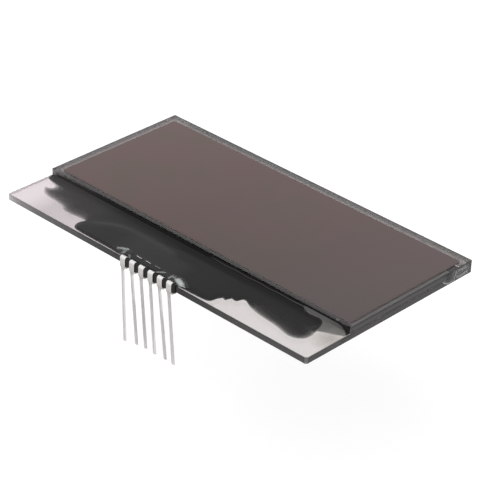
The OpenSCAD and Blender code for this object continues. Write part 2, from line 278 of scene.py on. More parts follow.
def glass_arris(name, frost_and_highlight, gloss, pale):
    """Ground arris along the plate's edges: a fine pale frost, which is also a painted highlight, dull along the
    coating.
    """
    n = Nodes(name)
    n.set(Transmission_Weight=0.55, IOR=1.52, Roughness=0.4, Specular_IOR_Level=gloss)
    frost = n.noise(0.7, 2.0, 0.5)
    # Painted highlight: the pale frost lightens the arris
    ground = n.ramp(frost, [(0.3, frost_and_highlight * 0.75), (0.7, frost_and_highlight)])
    coated = across(n, [(0.24, 0.0), (0.3, 1.0), (0.68, 1.0), (0.76, 0.0)])
    along = n.blend(coated, ground, (0.012, 0.011, 0.011))
    # The left end is bare glass, with a paler rim
    bare = across(n, [(0.055, 1.0), (0.075, 0.0)])
    n.link(n.blend(bare, along, (pale, 0.97 * pale, 0.96 * pale)), n.shader.inputs["Base Color"])
    return n.material


def polariser_film():
    """Dark film: warmer and lighter to the left, cooler and darker to the right."""
    n = Nodes("polariser_film")
    n.set(Roughness=0.09, IOR=1.49)
    warm = across(n, [(0.05, (0.08, 0.034, 0.032)), (0.45, (0.06, 0.021, 0.02)),
                      (0.8, (0.052, 0.023, 0.022)), (1.0, (0.051, 0.028, 0.028))])
    olive = across(n, [(0.05, (0.066, 0.035, 0.023)), (0.45, (0.05, 0.024, 0.014)),
                       (0.8, (0.045, 0.027, 0.02)), (1.0, (0.044, 0.031, 0.028))])
    patches = n.ramp(n.noise(0.09, 2.0, 0.5), [(0.4, 0.0), (0.65, 1.0)])
    tone = n.blend(patches, warm, olive)
    deep = n.blend(depth_between(n, FOOT / MM, BACK / MM, 0.05, 0.3), tone, (0.13, 0.06, 0.06))
    # Painted highlight: a paler band on the film near the left and back rims
    rim_painted_highlight = n.ramp(from_rim(n), [(0.84, 0.16), (1.0, 0.0)])
    n.link(n.blend(rim_painted_highlight, deep, (0.25, 0.235, 0.23)), n.shader.inputs["Base Color"])
    grain = n.noise(14.0, 2.0, 0.5)
    n.bump(grain, 0.000004, 0.25)
    return n.material


def film_cut():
    """Cut side of the film: its clear outer layers show grey round the dark core."""
    n = Nodes("film_cut")
    n.set(Roughness=0.35, IOR=1.49)
    layers = n.noise(4.0, 2.0, 0.5, (0.3, 0.3, 6))
    n.link(n.ramp(layers, [(0.35, (0.19, 0.165, 0.16)), (0.65, (0.21, 0.185, 0.18))]),
           n.shader.inputs["Base Color"])
    return n.material


def seal_epoxy():
    """Pale cured seal: grey at its outer rim, with painted shade along the front under the coated
    ledge, darkest right of the clips, and with a bright spot in one corner."""
    n = Nodes("seal_epoxy")
    n.set(Roughness=0.6)
    band = n.ramp(from_rim(n), [(0.14, (0.28, 0.26, 0.26)), (0.3, (0.6, 0.57, 0.57)),
                                (0.5, (0.7, 0.66, 0.655)), (0.85, (0.43, 0.385, 0.39))])
    shaded = across(n, [(0.087, (0.245, 0.23, 0.235)), (0.148, (0.187, 0.158, 0.145)),
                        (0.295, (0.165, 0.13, 0.125)), (0.454, (0.095, 0.07, 0.055)),
                        (0.577, (0.06, 0.053, 0.04)), (0.785, (0.085, 0.057, 0.042)),
                        (0.97, (0.06, 0.043, 0.033))])
    darkest = across(n, [(0.087, (0.2, 0.185, 0.185)), (0.3, (0.115, 0.09, 0.085)),
                         (0.42, (0.012, 0.01, 0.009))])
    # Painted shade along the seal's front, under the coated ledge
    front_painted_shade = n.blend(depth_between(n, FOOT / MM + 0.95, FOOT / MM + 1.25), darkest, shaded)
    front = n.blend(depth_between(n, FOOT / MM + 1.25, FOOT / MM + 1.7), front_painted_shade, band)
    corner = n.distance_to((RIGHT / MM - 1, BACK / MM - 1, LEDGE_TOP / MM), 0.2, 0.9)
    n.link(n.blend(corner, front, (0.85, 0.85, 0.84)), n.shader.inputs["Base Color"])
    n.bump(n.noise(3.0, 4.0, 0.6), 0.000005, 0.08)
    return n.material


def black_resin(name, blacks, gloss):
    """Brushed protective resin: black where thick, a grey veil where it thins out, and painted highlights along the
    patch's arc and along the lip on the front plate's edge.
    """
    n = Nodes(name)
    n.set(IOR=1.4, Specular_IOR_Level=gloss)
    body = n.noise(0.35, 4.0, 0.6, (0.5, 1.2, 1))
    black = across(n, blacks)
    # The veil attribute also carries the painted highlights
    n.link(n.blend(n.attribute("veil_and_highlight"), black, (0.19, 0.188, 0.183)), n.shader.inputs["Base Color"])
    n.link(n.ramp(body, [(0.3, 0.26), (0.7, 0.38)]), n.shader.inputs["Roughness"])
    n.link(n.attribute("cover"), n.shader.inputs["Alpha"])
    n.bump(n.noise(0.8, 3.0, 0.5), 0.00003, 0.3)
    return n.material


def cured_resin(name, ripple):
    """Cured resin: how solid it looks comes with the mesh, milky where solid, which on the bead are painted glints,
    and painted shade where it looks deep.
    """
    n = Nodes(name)
    n.set(Roughness=0.12, IOR=1.5)
    milky = n.ramp(n.noise(1.1, 3.0, 0.5), [(0.3, (0.56, 0.6, 0.585)), (0.7, (0.68, 0.72, 0.7))])
    # Painted shade where the resin looks deep
    n.link(n.blend(n.attribute("deep"), milky, (0.035, 0.034, 0.03)), n.shader.inputs["Base Color"])
    n.link(n.attribute("cover"), n.shader.inputs["Alpha"])
    n.bump(n.noise(1.6, 2.0, 0.5), 0.00003, ripple)
    return n.material


def tinned_strip():
    """Tin-plated bronze strip: soft satin with faint rolling lines down the leg, painted shade round the glass and a
    painted highlight along the bend's crest.
    """
    n = Nodes("tinned_strip")
    n.set(Metallic=1.0)
    streak = n.noise(1.5, 3.0, 0.6, (4, 4, 0.35))
    bright = n.ramp(streak, [(0.3, (0.61, 0.585, 0.578)), (0.7, (0.73, 0.708, 0.698))])
    # Painted shade on the clip round the glass
    head_painted_shade = up_the_edge(n, -2.8, 0.4, [(0.06, 0.0), (0.19, 1.0), (0.44, 1.0), (0.59, 0.8), (0.84, 0.72),
                                        (0.96, 0.0)])
    head_shaded = n.blend(head_painted_shade, bright, (0.42, 0.4, 0.39))
    # Painted highlight along the bend's crest over the ledge
    crest_painted_highlight = up_the_edge(n, 0.15, 0.4, [(0.0, 0.0), (0.5, 0.7)])
    n.link(n.blend(crest_painted_highlight, head_shaded, (0.93, 0.92, 0.91)), n.shader.inputs["Base Color"])
    n.link(n.ramp(streak, [(0.3, 0.26), (0.7, 0.42)]), n.shader.inputs["Roughness"])
    n.bump(n.noise(6.0, 2.0, 0.5, (2, 2, 0.5)), 0.00001, 0.3)
    return n.material


def grained(name, dark, light, roughness, scale=2.0, metallic=0.0):
    """Fine-grained matte material for the hidden pieces: seal, paste, die and films."""
    n = Nodes(name)
    n.set(Roughness=roughness, Metallic=metallic)
    grain = n.noise(scale, 4.0, 0.6)
    n.link(n.ramp(grain, [(0.35, dark), (0.65, light)]), n.shader.inputs["Base Color"])
    n.bump(grain, 0.000005, 0.3)
    return n.material


def new_piece(name, mesh, materials, slot, *nodes, smooth=True):
    piece = bpy.data.objects.new(name, mesh)
    bpy.context.scene.collection.objects.link(piece)
    for material in materials:
        mesh.materials.append(material)
    if smooth:
        for polygon in mesh.polygons:
            polygon.use_smooth = True
        mesh.set_sharp_from_angle(angle=math.radians(35))
    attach(piece, "root")
    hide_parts(*nodes)
    return piece


def closed_mesh(name, rings, attributes=()):
    """Mesh through rings of equal length, with both ends capped. attributes maps a name
    to a list of values for each ring."""
    count = len(rings[0])
    verts = [p for ring in rings for p in ring]
    faces = []
    for i in range(len(rings) - 1):
        for j in range(count):
            a = i * count + j
            b = i * count + (j + 1) % count
            faces.append((a, b, b + count, a + count))
    last = (len(rings) - 1) * count
    faces.append(tuple(reversed(range(count))))
    faces.append(tuple(range(last, last + count)))
    mesh = bpy.data.meshes.new(name)
    mesh.from_pydata(verts, [], faces)
    for key, values in dict(attributes).items():
        layer = mesh.attributes.new(key, "FLOAT", "POINT")
        layer.data.foreach_set("value", [v for ring in values for v in ring])
    bm = bmesh.new()
    bm.from_mesh(mesh)
    bmesh.ops.recalc_face_normals(bm, faces=bm.faces)
    bm.to_mesh(mesh)
    bm.free()
    return mesh


# Each plate overlaps what is bonded to it by this much, so that light inside the glass
# meets the bonded piece and not a film of air
WET = 0.000002
EDGE_BEVEL = 0.06 * MM


def glass_plate(name, node, seed, cuts):
    """Plate with narrow bevels, slightly wavy broken edges, and its two front corners cut.
    Where the plates meet, the bevels close up."""
    low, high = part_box(node)
    chance = random.Random(seed)
    step = 1.6 * MM
    left_cut, right_cut = cuts
    front_left = [(low.x, low.y + left_cut), (low.x + left_cut, low.y)]
    front_right = [(high.x - right_cut, low.y), (high.x, low.y + right_cut)]
    corners = front_left + front_right + [(high.x, high.y), (low.x, high.y)]
    outline = []
    for k in range(len(corners)):
        a, b = Vector(corners[k]), Vector(corners[(k + 1) % len(corners)])
        n = max(1, int((b - a).length / step))
        inward = Vector((-(b - a).y, (b - a).x)).normalized()
        for i in range(n):
            t = i / n
            wave = 0 if i == 0 else chance.uniform(0, 0.01) * MM
            outline.append((a.lerp(b, t), inward * wave))
    middle = Vector(((low.x + high.x) / 2, (low.y + high.y) / 2))

    def ring(z, inset):
        made = []
        seam = abs(z - LEDGE_TOP) < 0.05 * MM
        for point, wave in outline:
            to_middle = middle - point
            closed = seam and inset > 0 and point.y > FOOT - 0.0001
            depth = 0.1 * inset if closed else inset
            deep = 4.6 * depth if z > LEDGE_TOP + 1 * MM and point.y < FOOT + 0.5 * MM else depth
            move = Vector((math.copysign(depth, to_middle.x), math.copysign(deep, to_middle.y)))
            near_x = abs(abs(point.x - middle.x) - (high.x - low.x) / 2) < 1e-7
            near_y = abs(abs(point.y - middle.y) - (high.y - low.y) / 2) < 1e-7
            at = point + wave + Vector((move.x if near_x else 0, move.y if near_y else 0))
            made.append((at.x, at.y, z))
        return made

    mesh = closed_mesh(name, [
        ring(low.z - WET, EDGE_BEVEL), ring(low.z + EDGE_BEVEL, 0),
        ring(high.z - EDGE_BEVEL, 0), ring(high.z + WET, EDGE_BEVEL),
    ])
    for polygon in mesh.polygons:
        up = polygon.normal.z
        away = polygon.center - Vector((middle.x, middle.y, 0))
        cut = abs(polygon.normal.x) > 0.3 and abs(polygon.normal.y) > 0.3 and away.y < 0
        on_seam = up > 0.1 and abs(polygon.center.z - LEDGE_TOP) < 0.1 * MM and polygon.center.y > FOOT
        polygon.material_index = 0 if abs(up) > 0.9 else 2 if (up > 0.1 or cut) and not on_seam else 1
    return mesh


def film_sheet(name, node):
    """Film with a small rolled edge, cut from the node's rounded outline."""
    low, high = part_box(node)
    radius = 0.4 * MM
    edge = 0.05 * MM

    def ring(z, inset):
        made = []
        for cx, cy, start in (
            (low.x + radius, low.y + radius, 180), (high.x - radius, low.y + radius, 270),
            (high.x - radius, high.y - radius, 0), (low.x + radius, high.y - radius, 90),
        ):
            for k in range(7):
                a = math.radians(start + 15 * k)
                made.append((cx + (radius - inset) * math.cos(a), cy + (radius - inset) * math.sin(a), z))
        return made

    mesh = closed_mesh(name, [ring(low.z, 0), ring(high.z - edge, 0), ring(high.z, edge)])
    for polygon in mesh.polygons:
        polygon.material_index = 0 if abs(polygon.normal.z) > 0.3 else 1
    return mesh


# Outline of the coating's black body, and of the whole coating with the thin grey veil at
# its right end: X from the left glass edge and Y from the ledge's front edge, in millimetres
BLACK_OUTLINE = [
    (0.3, FOOT_Y), (0.3, 10.45), (1.0, 9.9), (2.0, 9.55), (3.4, 9.2), (4.2, 8.8), (4.3, 8.3), (4.0, 7.8),
    (3.4, 7.55), (2.75, 7.35), (3.0, 6.8), (3.8, 6.0), (4.7, 5.35), (6.0, 5.0), (7.2, 4.9), (9.0, 4.8),
    (10.5, 4.7), (11.4, 4.3), (12.2, 3.75), (13.0, 3.55), (14.5, 3.6), (16.0, 3.8), (17.5, 3.95),
    (18.6, 4.15), (18.15, 3.3), (17.95, 2.5), (18.15, 1.7), (18.55, 1.0), (19.2, 0.5), (20.3, 0.3),
    (24, 0.25), (29, 0.25), (32, 0.12), (40, 0.12), (48, 0.12), (52, 0.3), (54.5, 0.4), (55.9, 0.65),
    (56.4, 1.3), (56.5, 2.3), (56.8, 3.0), (57.05, 3.55), (57.5, 3.35), (57.95, 3.2), (58.1, 3.85),
    (58.35, 4.65), (58.9, 4.4), (59.6, 4.45), (59.85, 5.2), (60.1, 5.9), (60.6, 6.0), (61.2, 5.75),
    (62.2, 5.2), (63.2, 4.75), (65, 4.3), (67, 4.05), (69, 3.9), (71, 3.65), (72.6, 3.25), (74, 2.95),
    (75.2, 3.1), (76.2, 3.6), (76.9, 4.3), (77.2, 5.2), (77.25, 6.1), (77.0, 7.2), (76.75, 8.2),
    (76.3, 9.5), (75.75, 10.6), (75.15, 11.25), (74.4, 11.55), (73.2, 11.5), (72.3, 11.3), (71.3, 11.35),
    (70.6, FOOT_Y),
]
VEIL_EDGE = [(76.75, 8.1), (77.1, 8.05), (78, 8.6), (79, 9.05), (80, 9.45), (80.9, 10.0), (81.5, 10.3),
             (81.5, FOOT_Y)]
WHOLE_OUTLINE = BLACK_OUTLINE[:BLACK_OUTLINE.index((76.75, 8.2))] + VEIL_EDGE
# How far the resin stands over each finger's tip, in millimetres above the ledge
TIP_COVER = [0.80, 0.69, 0.70, 0.72, 0.78, 0.80]


def rounded_outline(points, rounds=2):
    """Corner cutting, which leaves the outline smooth; its two corners at the plate's foot stay."""
    for _ in range(rounds):
        made = []
        for i, a in enumerate(points):
            b = points[(i + 1) % len(points)]
            if a[1] == FOOT_Y and b[1] == FOOT_Y:
                made.extend([a, b])
            elif a[1] == FOOT_Y:
                made.append((b[0] * 0.75 + a[0] * 0.25, b[1] * 0.75 + a[1] * 0.25))
            elif b[1] == FOOT_Y:
                made.append((a[0] * 0.75 + b[0] * 0.25, a[1] * 0.75 + b[1] * 0.25))
            else:
                made.append((a[0] * 0.75 + b[0] * 0.25, a[1] * 0.75 + b[1] * 0.25))
                made.append((a[0] * 0.25 + b[0] * 0.75, a[1] * 0.25 + b[1] * 0.75))
        points = made
    return np.array(points)


def distance_inside(outline, x, y):
    """Distance of each point to the outline, positive inside, and the nearest point on it."""
    best = np.full(x.shape, 1e9)
    near_x, near_y = np.zeros(x.shape), np.zeros(x.shape)
    inside = np.zeros(x.shape, bool)
    for i in range(len(outline)):
        (ax, ay), (bx, by) = outline[i], outline[(i + 1) % len(outline)]
        crosses = ((ay > y) != (by > y)) & (x < (bx - ax) * (y - ay) / (by - ay + 1e-12) + ax)
        inside ^= crosses
        if ay == FOOT_Y and by == FOOT_Y:
            continue
        length = (bx - ax) ** 2 + (by - ay) ** 2
        t = np.clip(((x - ax) * (bx - ax) + (y - ay) * (by - ay)) / max(length, 1e-12), 0, 1)
        px, py = ax + t * (bx - ax), ay + t * (by - ay)
        gap = np.hypot(x - px, y - py)
        closer = gap < best
        best = np.where(closer, gap, best)
        near_x, near_y = np.where(closer, px, near_x), np.where(closer, py, near_y)
    return np.where(inside, best, -best), near_x, near_y


def step(a, b, x):
    t = np.clip((x - a) / (b - a), 0, 1)
    return t * t * (3 - 2 * t)


# Far edge of the thick dispensed patch, an arc that rises towards the front plate
PATCH_ARC = [(18.5, 3.5), (20.8, 4.8), (22.1, 5.8), (23.5, 6.65), (25, 7.4), (27, 7.85), (32, 8.05), (35.5, 7.9),
             (39, 7.6), (42, 7.3)]


# The driver die under the coating: its middle, half its size and its top, in the same millimetres
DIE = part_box("driver_chip")
DIE_X = ((DIE[0].x + DIE[1].x) / 2 - LEFT) / MM
DIE_Y = ((DIE[0].y + DIE[1].y) / 2 - LEDGE_FRONT) / MM
DIE_HALF_X = (DIE[1].x - DIE[0].x) / 2 / MM
DIE_HALF_Y = (DIE[1].y - DIE[0].y) / 2 / MM
DIE_TOP = (DIE[1].z - LEDGE_TOP) / MM


def arc_height(x):
    return np.interp(x, [p[0] for p in PATCH_ARC], [p[1] for p in PATCH_ARC])


def coat_height(x, y, whole, black):
    """Thickness of the coating in millimetres."""
    rim = step(0.0, 0.5, whole) ** 0.6
    rise = 0.3 * step(33, 44, x) * step(62, 50, x) * step(11.2, 9.0, y)
    body = (0.08 + rise) * step(-0.3, 1.5, black) * rim
    patch = (0.44 - body) * step(2.8, -2.8, y - arc_height(x)) * step(17.3, 20, x) * step(48, 38, x) * rim
    climb = 0.1 * step(FOOT_Y - 0.2, FOOT_Y, y) ** 2 * step(-0.5, 0.5, black)
    over_clips = step(1.3, 0.8, np.abs(x - (ROW_X - LEFT) / MM) - 6.5) * step(2.3, 1.6, y) * step(0.1, 0.35, y)
    level = np.full(x.shape, 0.6)
    for pin, tip in zip(PIN_X, TIP_COVER):
        near = step(1.1, 0.8, np.abs(x - (pin - LEFT) / MM)) * step(0.9, 1.2, y)
        level = level + (tip - 0.6) * near
    height = 0.03 + body + patch + climb
    over_die = step(1.4, 0.15, np.abs(x - DIE_X) - DIE_HALF_X) * step(1.4, 0.15, np.abs(y - DIE_Y) - DIE_HALF_Y)
    height = height + np.maximum(0, DIE_TOP + 0.05 - height) * over_die
    return height + np.maximum(0, level - height) * over_clips * step(0.0, 0.25, whole)


def coat_cover(x, y, whole, black, streak):
    """How opaque the coating is, since brushed edges let light through, and how grey, with a painted highlight along
    the patch's arc.
    """
    lobe = step(61.5, 64, x) * step(10, 7.5, y)
    left = step(19, 17, x) * step(10.3, 9.0, y)
    soft = np.maximum(left, lobe)
    inside = np.maximum(0, black + 0.1 * (1 - left * step(14, 11, x)))
    reach = 0.1 + 0.24 * soft + 0.08 * left
    wide = soft * (0.08 + 0.16 * left * (1 + 0.8 * streak))
    thin = (1 - wide) * np.exp(-inside / reach) + wide * np.exp(-inside / 1.2)
    # Light passes the upper and the lower side of the sheet, hence the root
    body = 1 - np.sqrt(thin)
    low_rim = step(1.2, 0.1, whole) * step(76.5, 77.5, x)
    smear = (0.86 - 0.26 * low_rim) * step(-0.05, 0.25, whole) * step(69.5, 71, x) * step(6.6, 7.8, y)
    veil_and_highlight = step(0.6, 0.1, body) * step(69.5, 71, x) * step(6.6, 7.8, y) * (0.8 + 0.3 * step(77, 79, x))
    dark = step(-0.1, 0.25, (x - 80.2) - 1.1 * (FOOT_Y - y))
    # Painted highlight: a soft grey band along the patch's arc
    band = np.exp(-((y - arc_height(x)) / 0.75) ** 2) * step(19, 21.5, x) * step(41.5, 39, x)
    thick = 0.06 * step(0.5, -1.5, y - arc_height(x)) * step(27, 33, x) * step(48, 44, x)
    thin_left = 0.035 * step(21, 17, x)
    grey = np.maximum(veil_and_highlight * (1 - dark), 0.1 * band + thick + thin_left)
    return np.maximum(np.maximum(body, smear), 0.95 * dark), grey


def coating_piece(material):
    """Height field over the ledge, cut to the coating's outline."""
    whole_line, black_line = rounded_outline(WHOLE_OUTLINE), rounded_outline(BLACK_OUTLINE)
    xs = np.linspace(0.25, 81.55, 407)
    ys = FOOT_Y - 0.001 - (FOOT_Y - 0.05) * np.linspace(0, 1, 72) ** 1.1
    x, y = np.meshgrid(xs, ys, indexing="ij")
    whole, near_x, near_y = distance_inside(whole_line, x, y)
    # Points just outside move on to the outline
    snap = (whole < 0) & (whole > -0.24)
    x, y = np.where(snap, near_x, x), np.where(snap, near_y, y)
    whole = np.where(snap, 0.0, whole)
    black = distance_inside(black_line, x, y)[0]
    streak = np.array([[noise.noise(Vector((u * 0.35 + v * 1.1, v * 2.6 - u * 0.5, 0.7)))
                        for u, v in zip(*pair)] for pair in zip(x, y)])
    height = np.where(whole > 0, coat_height(x, y, whole, black), 0.012)
    cover, veil_and_highlight = coat_cover(x, y, whole, black, streak)
    bm = bmesh.new()
    layer = bm.verts.layers.float.new("cover")
    veil_and_highlight_layer = bm.verts.layers.float.new("veil_and_highlight")
    used = whole > -0.001
    pairs = {}

    def pair_at(i, j):
        if (i, j) not in pairs:
            place = (LEFT + x[i, j] * MM, LEDGE_FRONT + y[i, j] * MM)
            top = bm.verts.new((*place, LEDGE_TOP + height[i, j] * MM))
            bottom = bm.verts.new((*place, LEDGE_TOP))
            top[layer] = bottom[layer] = float(cover[i, j])
            top[veil_and_highlight_layer] = bottom[veil_and_highlight_layer] = float(veil_and_highlight[i, j])
            pairs[i, j] = (top, bottom)
        return pairs[i, j]

    rim = {}
    for i in range(len(xs) - 1):
        for j in range(len(ys) - 1):
            corners = [(i, j), (i, j + 1), (i + 1, j + 1), (i + 1, j)]
            if not all(used[c] for c in corners):
                continue
            made = [pair_at(*c) for c in corners]
            bm.faces.new([m[0] for m in made])
            bm.faces.new([m[1] for m in reversed(made)])
            for k in range(4):
                a, b = corners[k], corners[(k + 1) % 4]
                if (b, a) in rim:
                    del rim[b, a]
                else:
                    rim[a, b] = True
    for a, b in rim:
        (top_a, low_a), (top_b, low_b) = pair_at(*a), pair_at(*b)
        bm.faces.new([top_b, top_a, low_a, low_b])
    mesh = bpy.data.meshes.new("coating")
    bmesh.ops.recalc_face_normals(bm, faces=bm.faces)
    bm.to_mesh(mesh)
    bm.free()
    return new_piece("coating", mesh, [material], "black_coating", "ledge_coating")


# Top of the grey veil on the front plate's edge: X from the left glass edge, height over the ledge
FACE_VEIL = [(69.9, 0.0), (70.4, 0.9), (72, 0.92), (78.4, 0.92), (79.3, 0.75), (80.0, 0.3), (80.4, -0.1)]


def edge_tones(x, z):
    """Cover and greyness of the resin on the front plate's edge, and its raised lip, which carries a painted
    highlight.
    """
    top = 0.75 + 0.45 * smoothstep(6, 20, x)
    cover = smoothstep(0.8, 3, x) * (1 - smoothstep(top - 0.25, top + 0.25, z))
    grey = 0.06 + 0.07 * smoothstep(16, 6, x) * (0.4 + z)
    wave = 0.52 + 0.05 * math.sin(x * 1.1) + 0.05 * smoothstep(50, 69, x)
    lip = smoothstep(0.18, 0.03, abs(z - wave)) * smoothstep(44.5, 47.5, x) * (1 - smoothstep(70, 71, x))
    # Painted highlight: the lip is drawn as a pale line
    grey = max(grey, lip * (0.5 + 0.2 * smoothstep(64, 70, x)))
    edge = curve_through(FACE_VEIL, x, 1)
    if FACE_VEIL[0][0] < x < FACE_VEIL[-1][0]:
        grey = max(grey, (0.85 - 0.2 * smoothstep(75, 78, x)) * smoothstep(edge + 0.08, edge - 0.08, z))
    return cover, grey, lip


def edge_coat_piece(material):
    """Resin on the front plate's edge: black, with its raised lip, a painted highlight along the lip, and the grey
    veil.
    """
    across_steps, up_steps = 240, 26
    top = (FRONT[1].z - LEDGE_TOP) / MM - 0.06
    rings, cover, veil_and_highlight = [], [], []
    for i in range(across_steps + 1):
        x = 0.4 + (81.5 - 0.4) * i / across_steps
        ring, solid, grey = [], [], []
        for k in range(up_steps):
            z = 0.02 + (top - 0.02) * k / (up_steps - 1)
            c, g, lip = edge_tones(x, z)
            ring.append((LEFT + x * MM, FOOT - (0.03 + 0.05 * lip) * MM, LEDGE_TOP + z * MM))
            solid.append(c)
            grey.append(g)
        ring += [(LEFT + x * MM, FOOT, LEDGE_TOP + top * MM), (LEFT + x * MM, FOOT, LEDGE_TOP + 0.02 * MM)]
        rings.append(ring)
        cover.append(solid + [solid[-1], solid[0]])
        veil_and_highlight.append(grey + [grey[-1], grey[0]])
    mesh = closed_mesh("coating_on_edge", rings, {"cover": cover, "veil_and_highlight": veil_and_highlight})
    return new_piece("coating_on_edge", mesh, [material], "black_coating", "ledge_coating")


def skirt_piece(material):
    """Coating wicked into the clips: it bridges the glass edge between the strips."""
    glass = (LEDGE_TOP - REAR[0].z) / MM
    section = [(0.9, 0.30), (0.1, 0.33), (-0.2, 0.32)]
    section += [(-0.25 + 0.14 * math.cos(math.radians(a)), 0.17 + 0.14 * math.sin(math.radians(a)))
                for a in (110, 135, 160, 180)]
    section += [(-0.1 + 0.3 * math.cos(math.radians(a)), -glass - 0.12 + 0.3 * math.sin(math.radians(a)))
                for a in (180, 200, 225, 250, 270)]
    section += [(0.5, -glass - 0.38), (0.85, -glass), (0.0, -glass), (0.0, 0.0), (0.9, 0.0)]
    first, last = PIN_X[0] - 0.72 * MM, PIN_X[-1] + 1.15 * MM
    steps = 90
    rings = []
    for i in range(steps + 1):
        x = first + (last - first) * i / steps
        gap = min(abs(x - p) for p in PIN_X) / MM
        pull = 0.16 * smoothstep(0.6, 1.25, gap)
        ring = []
        for y, z in section:
            in_front = smoothstep(0.05, -0.3, y)
            ring.append((x, LEDGE_FRONT + (y + pull * in_front) * MM,
                         LEDGE_TOP + (z + 0.5 * pull * (1 if z < -glass else 0)) * MM))
        rings.append(ring)
    mesh = closed_mesh("coating_in_clips", rings, {"cover": [[1.0] * len(r) for r in rings],
                                                   "veil_and_highlight": [[0.0] * len(r) for r in rings]})
    return new_piece("coating_in_clips", mesh, [material], "black_coating", "ledge_coating")


# The bead along its length: place, half width and height as shares, and how solid it looks
BEAD_ROWS = [
    (0.0, 0.06, 0.35, 0.03), (0.02, 0.42, 0.62, 0.03), (0.06, 0.72, 0.85, 0.05), (0.12, 0.95, 1.0, 0.05),
    (0.18, 0.9, 0.98, 0.03), (0.24, 0.72, 0.86, 0.0), (0.32, 0.7, 0.8, 0.0), (0.6, 0.7, 0.8, 0.0),
    (0.72, 0.74, 0.84, 0.02), (0.78, 0.9, 0.96, 0.05), (0.86, 1.0, 1.0, 0.08), (0.93, 0.75, 0.85, 0.08),
    (0.98, 0.42, 0.6, 0.08), (1.0, 0.06, 0.3, 0.08),
]
# Cloudy streaks in the bead, which are painted glints, each from one place to another: X from
# the left glass edge and Y from the ledge front in millimetres, then the radius and how cloudy.
# They shift with the bead's height along the line of view, by the shift below
GLINT_VIEW_SHIFT = (-1.16, 1.23)
BEAD_CLOUDS_AND_GLINTS = [
    (30.4, 1.7, 31.3, 2.3, 0.65, 0.5), (31.3, 2.3, 32.1, 2.7, 0.7, 0.62), (32.1, 2.6, 32.4, 1.2, 0.5, 0.42),
    (33.9, 1.5, 34.7, 0.7, 0.3, 0.4), (35.2, 2.4, 36.2, 2.35, 0.25, 0.55), (37.6, 2.4, 38.7, 2.35, 0.25, 0.45),
    (40.1, 2.4, 41.1, 2.35, 0.22, 0.2), (42.0, 1.0, 43.2, 2.0, 0.35, 0.5), (45.0, 2.2, 45.1, 1.1, 0.35, 0.5),
    (45.2, 2.1, 46.8, 1.9, 0.4, 0.5), (46.8, 1.9, 48.2, 1.3, 0.95, 0.88), (48.2, 1.3, 49.3, 0.5, 0.85, 0.7),
]


def streak_cloud(streaks, u, v):
    """How cloudy a place is, for streaks of the kind above."""
    best = 0.0
    for ax, ay, bx, by, radius, dense in streaks:
        length = (bx - ax) ** 2 + (by - ay) ** 2
        t = min(1, max(0, ((u - ax) * (bx - ax) + (v - ay) * (by - ay)) / length))
        gap = math.hypot(u - ax - t * (bx - ax), v - ay - t * (by - ay))
        best = max(best, dense * (1 - smoothstep(0.3 * radius, radius, gap)))
    return best


def bead_piece(material):
    """Clear adhesive bead over the clip fingers, lumpy and a little cloudy at its ends, with painted glints drawn as
    milky streaks.
    """
    low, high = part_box("pin_adhesive")
    steps, around = 260, 30
    middle_y = (low.y + high.y) / 2
    half = (high.y - low.y) / 2
    rings, cover = [], []
    for i in range(steps + 1):
        t = i / steps
        x = low.x + (high.x - low.x) * t
        width = curve_through(BEAD_ROWS, t, 1) * (1 + 0.08 * noise.noise(Vector((t * 14, 1.7, 0))))
        height = (high.z - LEDGE_TOP) * min(1, curve_through(BEAD_ROWS, t, 2))
        solid = curve_through(BEAD_ROWS, t, 3)
        drift = -0.3 * MM * (1 - abs(2 * t - 1)) - (1 - min(1, width)) * 0.3 * half
        ring, body = [], []
        for k in range(around + 1):
            a = math.pi * (1 - k / around)
            y = middle_y + drift + half * min(1, width) * math.cos(a)
            z = 0.0002 + (height - 0.0002) * math.sin(a) ** 0.8
            ring.append((x, y, LEDGE_TOP + z))
            # Painted glints: milky streaks placed along the line of view
            cloud = streak_cloud(BEAD_CLOUDS_AND_GLINTS, (x - LEFT + GLINT_VIEW_SHIFT[0] * z) / MM, (y - LEDGE_FRONT + GLINT_VIEW_SHIFT[1] * z) / MM)
            body.append(1 - math.sqrt(1 - max(solid, cloud)))
        rings.append(ring)
        cover.append(body)
    none = [[0.0] * len(r) for r in rings]
    mesh = closed_mesh("adhesive_bead", rings, {"deep": none, "cover": cover})
    return new_piece("adhesive_bead", mesh, [material], "clear_resin", "pin_adhesive")


# Cloudy streaks in the plug, of the same kind: Y from the ledge's front edge, height over
# the ledge, in millimetres, then the radius and how cloudy
PLUG_SEAM = [
    (38.2, -0.2, 39.4, -0.75, 0.18, 0.75), (39.4, -0.75, 41.1, -0.95, 0.18, 0.75), (41.1, -0.95, 41.7, 0.2, 0.25, 0.4),
    (41.7, 0.2, 41.9, 1.1, 0.25, 0.45), (42.1, -0.45, 45.0, -0.25, 0.3, 0.5), (42.6, 0.8, 45.0, 0.65, 0.35, 0.35),
    (42.3, -1.0, 45.0, -0.95, 0.35, 0.35),
]


def plug_body(y, z):
    """How dark and how solid the plug looks: painted shade at its deep end, then thin resin with streaks."""
    cloud = streak_cloud(PLUG_SEAM, y, z)
    seam_z = -0.2 - 0.8 * smoothstep(38.2, 40.2, y)
    deep = smoothstep(37.9, 39.0, y) * (1 - smoothstep(40.9, 41.6, y)) * smoothstep(seam_z, seam_z + 0.3, z)
    return deep * (1 - cloud), 1 - math.sqrt(1 - min(0.95, max(cloud, 0.6 * deep, 0.14)))


